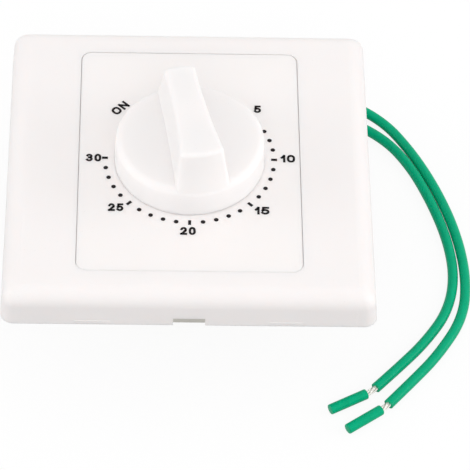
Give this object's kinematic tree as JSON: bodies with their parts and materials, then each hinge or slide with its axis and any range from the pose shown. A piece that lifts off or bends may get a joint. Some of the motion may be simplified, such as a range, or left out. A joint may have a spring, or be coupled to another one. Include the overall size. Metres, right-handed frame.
{
  "type": "timer light switch",
  "caption": "Square wall plate with a clockwork timer switch: waisted bar-grip knob over a minute dial, movement case behind and two stripped green leads.",
  "frame": {"origin": "centre of the timer case's back face, on the knob's axis", "axes": "+Z out of the wall through the knob, +Y towards twelve o'clock on the dial, +X towards three o'clock"},
  "size_m": [0.1119, 0.1079, 0.0519],
  "materials": {
    "cover_plastic": "moulded warm white, smooth with a soft gloss",
    "panel_plastic": "moulded warm white, smooth, with a printed dial",
    "knob_plastic": "moulded cool white, satin gloss",
    "case_plastic": "moulded off-white, fine matt texture",
    "insulator_plastic": "brown pressed insulating plastic",
    "cam_plastic": "natural unpigmented plastic",
    "plate_steel": "zinc plated sheet",
    "turned_steel": "turned, with fine rings",
    "screw_steel": "zinc plated",
    "spring_steel": "blued strip",
    "wheel_brass": "stamped, lightly grained",
    "blade_brass": "rolled strip",
    "point_silver": "silver contact face",
    "terminal_tin": "tinned",
    "wire_insulation": "saturated green insulation, soft sheen",
    "tinned_strands": "twisted tinned strands",
    "grommet_rubber": "matt black"
  },
  "bodies": {
    "housing": {"cover_frame": "cover_plastic", "mounting_base": "panel_plastic", "timer_screws": "screw_steel", "timer_case": "case_plastic", "case_screws": "screw_steel", "front_plate": "plate_steel", "rear_plate": "plate_steel", "pillars": "turned_steel", "arbor_bush": "wheel_brass", "spring_post": "turned_steel", "stop_pin": "turned_steel", "mainspring": "spring_steel", "insulator_block": "insulator_plastic", "block_screw": "screw_steel", "fixed_blade": "blade_brass", "moving_blade": "blade_brass", "fixed_point": "point_silver", "moving_point": "point_silver", "crimp_terminals": "terminal_tin", "inner_leads": "wire_insulation", "wire_grommet": "grommet_rubber", "long_wire": "wire_insulation", "short_wire": "wire_insulation", "long_wire_strands": "tinned_strands", "short_wire_strands": "tinned_strands", "long_wire_slug": "wire_insulation", "short_wire_slug": "wire_insulation"},
    "knob": {"knob": "knob_plastic", "knob_clip": "spring_steel", "main_arbor": "turned_steel", "clutch_washer": "spring_steel", "switch_cam": "cam_plastic"},
    "main_wheel": {"main_wheel": "wheel_brass"},
    "second_wheel": {"second_wheel": "wheel_brass", "second_pinion": "turned_steel"},
    "escape_wheel": {"escape_wheel": "wheel_brass", "escape_pinion": "turned_steel"},
    "balance": {"balance_lever": "wheel_brass", "balance_staff": "turned_steel"}
  },
  "joints": [
    {"name": "knob_turn", "type": "hinge", "parent": "housing", "child": "knob", "pos_m": [0, 0, 0.035], "axis": [0, 0, -1], "range_deg": [-34, 281], "deforming": ["mainspring", "moving_blade", "moving_point"]},
    {"name": "main_wheel_turn", "type": "hinge", "parent": "housing", "child": "main_wheel", "pos_m": [0, 0, 0.019], "axis": [0, 0, -1], "range_deg": [-35, 282]},
    {"name": "second_wheel_turn", "type": "hinge", "parent": "housing", "child": "second_wheel", "pos_m": [0.0117, -0.00426, 0.021], "axis": [0, 0, -1], "range_deg": [-2640, 325]},
    {"name": "escape_wheel_turn", "type": "hinge", "parent": "housing", "child": "escape_wheel", "pos_m": [0.0097, -0.01252, 0.024], "axis": [0, 0, -1], "range_deg": [-2395, 19765]},
    {"name": "balance_swing", "type": "hinge", "parent": "housing", "child": "balance", "pos_m": [0.00397, -0.01461, 0.024], "axis": [0, 0, -1], "range_deg": [-6, 6]}
  ],
  "couplings": [
    {"joint": "main_wheel_turn", "follows": "knob_turn", "ratio": 1},
    {"joint": "second_wheel_turn", "follows": "knob_turn", "ratio": -9.375},
    {"joint": "escape_wheel_turn", "follows": "knob_turn", "ratio": 70.312}
  ]
}
